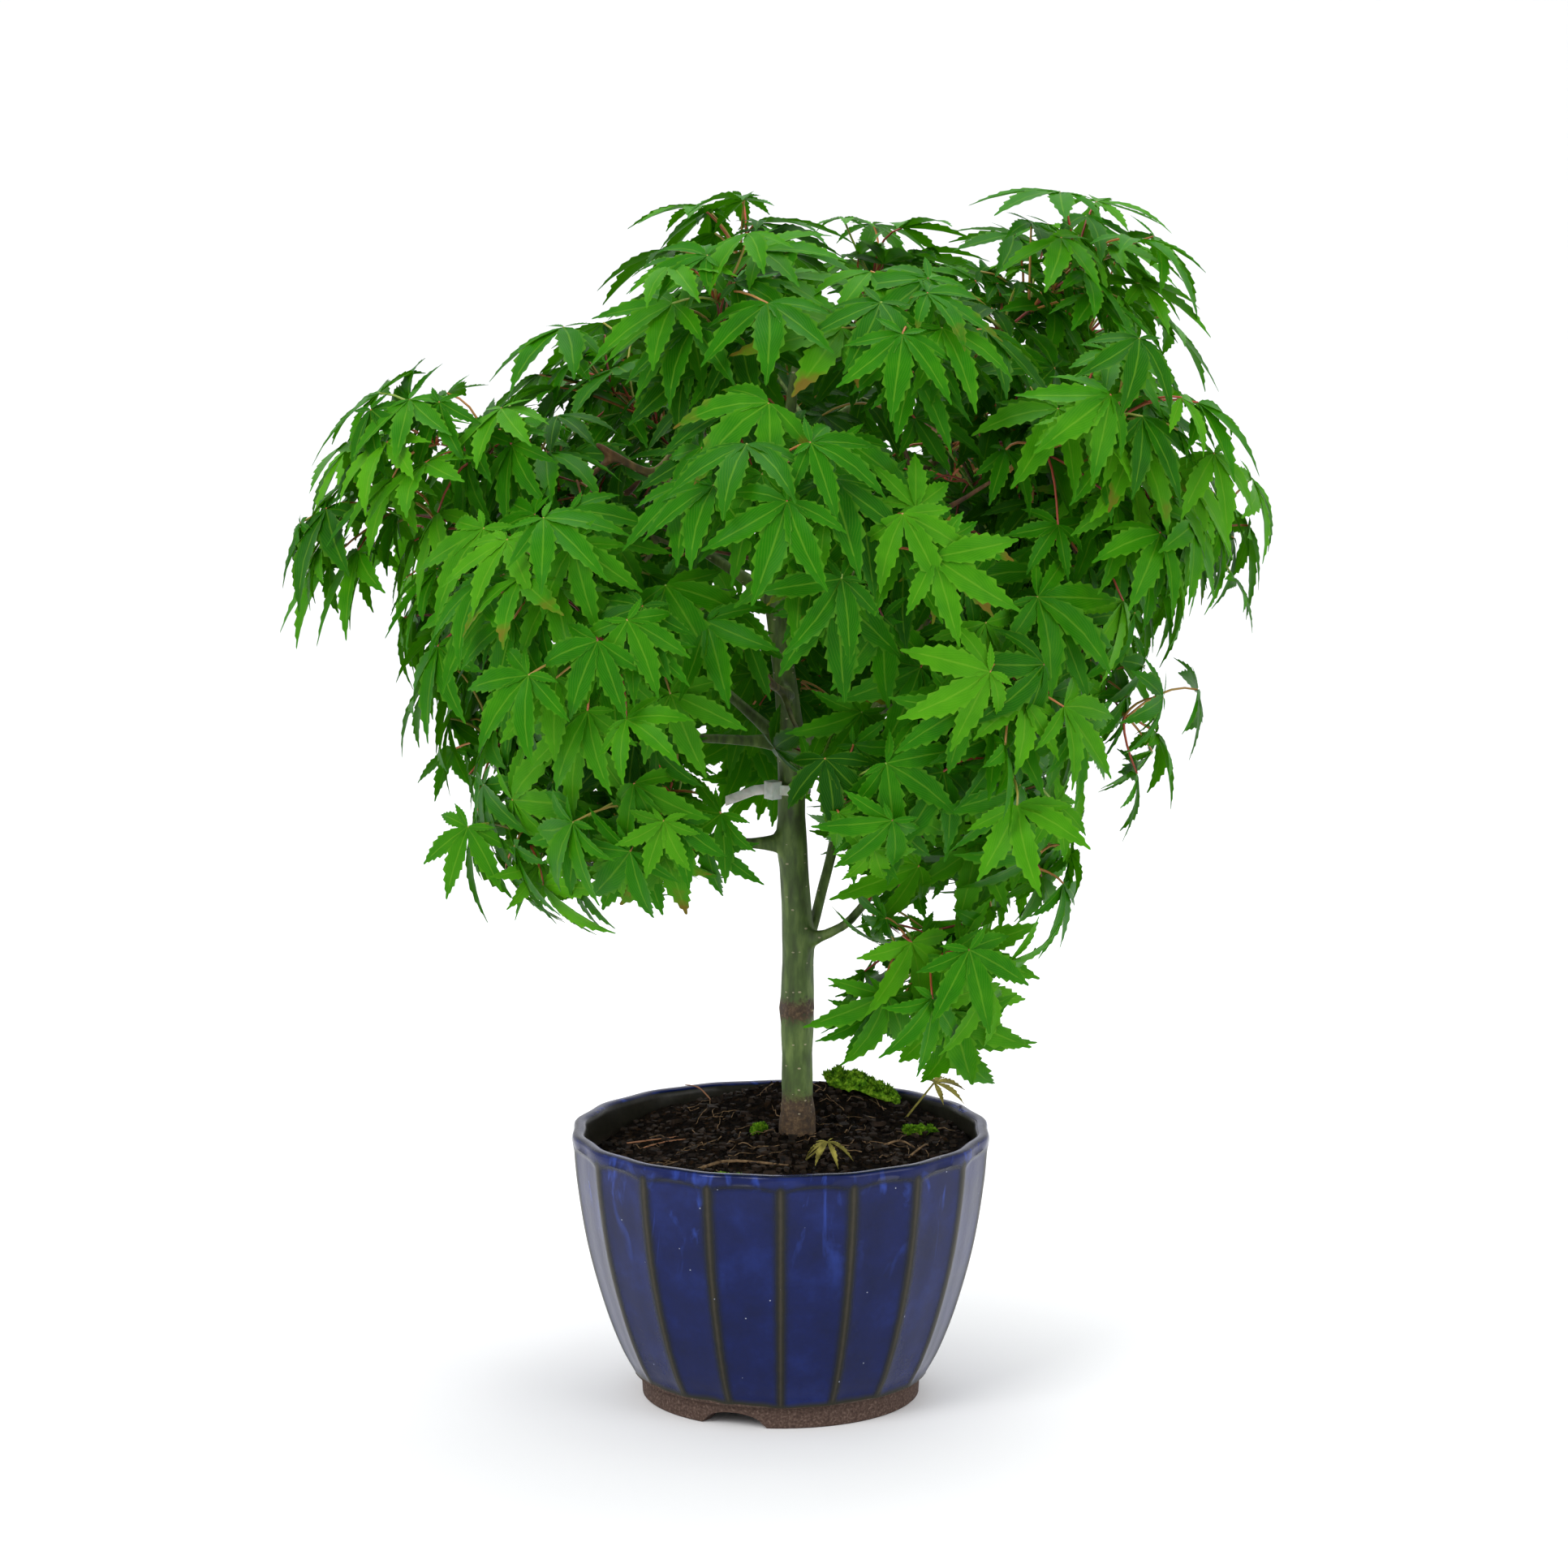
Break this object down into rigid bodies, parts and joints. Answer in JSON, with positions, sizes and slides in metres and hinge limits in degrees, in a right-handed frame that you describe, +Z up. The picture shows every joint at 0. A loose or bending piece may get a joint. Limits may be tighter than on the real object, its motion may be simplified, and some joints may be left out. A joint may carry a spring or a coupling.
{
  "type": "bonsai tree in a pot",
  "caption": "Japanese maple bonsai with palmate leaves, planted in a round fluted stoneware pot with a blue glaze; stands on a table or shelf as a living ornament",
  "frame": {"origin": "centre of the pot's foot, on the surface that it stands on", "axes": "+Z up along the pot's axis, -Y towards the front, where the cable tie and the longest low branch on the left are seen, +X to the right seen from the front"},
  "size_m": [0.468, 0.4342, 0.5771],
  "materials": {
    "blue_glazed_stoneware": "deep blue gloss glaze, breaking olive brown on the ridges, over a brown stoneware foot",
    "peat_soil": "damp dark peat with grit, matt",
    "black_plastic_mesh": "moulded black plastic net, matt",
    "maple_bark": "smooth green bark above, rough brown bark at the foot",
    "maple_leaf": "thin green living leaves on red and yellow-green stalks, soft sheen",
    "white_nylon": "moulded natural nylon, slightly see-through",
    "moss": "short green cushion moss",
    "dry_needle": "dry red-brown needles and stalk",
    "dead_wood": "bare brown root and stem bits, matt",
    "dry_leaf": "withered yellow-brown leaf, matt"
  },
  "bodies": {
    "root": {"cable_tie": "white_nylon", "drainage_mesh": "black_plastic_mesh", "dry_leaf_on_rim": "dry_leaf", "dry_stalk": "dry_needle", "moss_back": "moss", "moss_by_trunk": "moss", "moss_front": "moss", "moss_right": "moss", "needle_1": "dry_needle", "needle_2": "dry_needle", "pot": "blue_glazed_stoneware", "shoot_01": "maple_leaf", "shoot_02": "maple_leaf", "shoot_03": "maple_leaf", "shoot_04": "maple_leaf", "shoot_05": "maple_leaf", "shoot_06": "maple_leaf", "shoot_07": "maple_leaf", "shoot_08": "maple_leaf", "shoot_09": "maple_leaf", "shoot_10": "maple_leaf", "shoot_11": "maple_leaf", "shoot_12": "maple_leaf", "shoot_13": "maple_leaf", "shoot_14": "maple_leaf", "shoot_15": "maple_leaf", "shoot_16": "maple_leaf", "shoot_17": "maple_leaf", "shoot_18": "maple_leaf", "shoot_19": "maple_leaf", "shoot_20": "maple_leaf", "shoot_21": "maple_leaf", "shoot_22": "maple_leaf", "shoot_23": "maple_leaf", "shoot_24": "maple_leaf", "shoot_25": "maple_leaf", "shoot_26": "maple_leaf", "shoot_27": "maple_leaf", "shoot_28": "maple_leaf", "shoot_29": "maple_leaf", "shoot_30": "maple_leaf", "shoot_31": "maple_leaf", "shoot_32": "maple_leaf", "shoot_33": "maple_leaf", "shoot_34": "maple_leaf", "shoot_35": "maple_leaf", "shoot_36": "maple_leaf", "shoot_37": "maple_leaf", "shoot_38": "maple_leaf", "shoot_39": "maple_leaf", "shoot_40": "maple_leaf", "shoot_41": "maple_leaf", "shoot_42": "maple_leaf", "shoot_43": "maple_leaf", "soil": "peat_soil", "stem_bit_1": "dead_wood", "stem_bit_2": "dead_wood", "surface_root": "dead_wood", "trunk_and_branches": "maple_bark", "withered_leaf": "dry_leaf"}
  },
  "joints": []
}
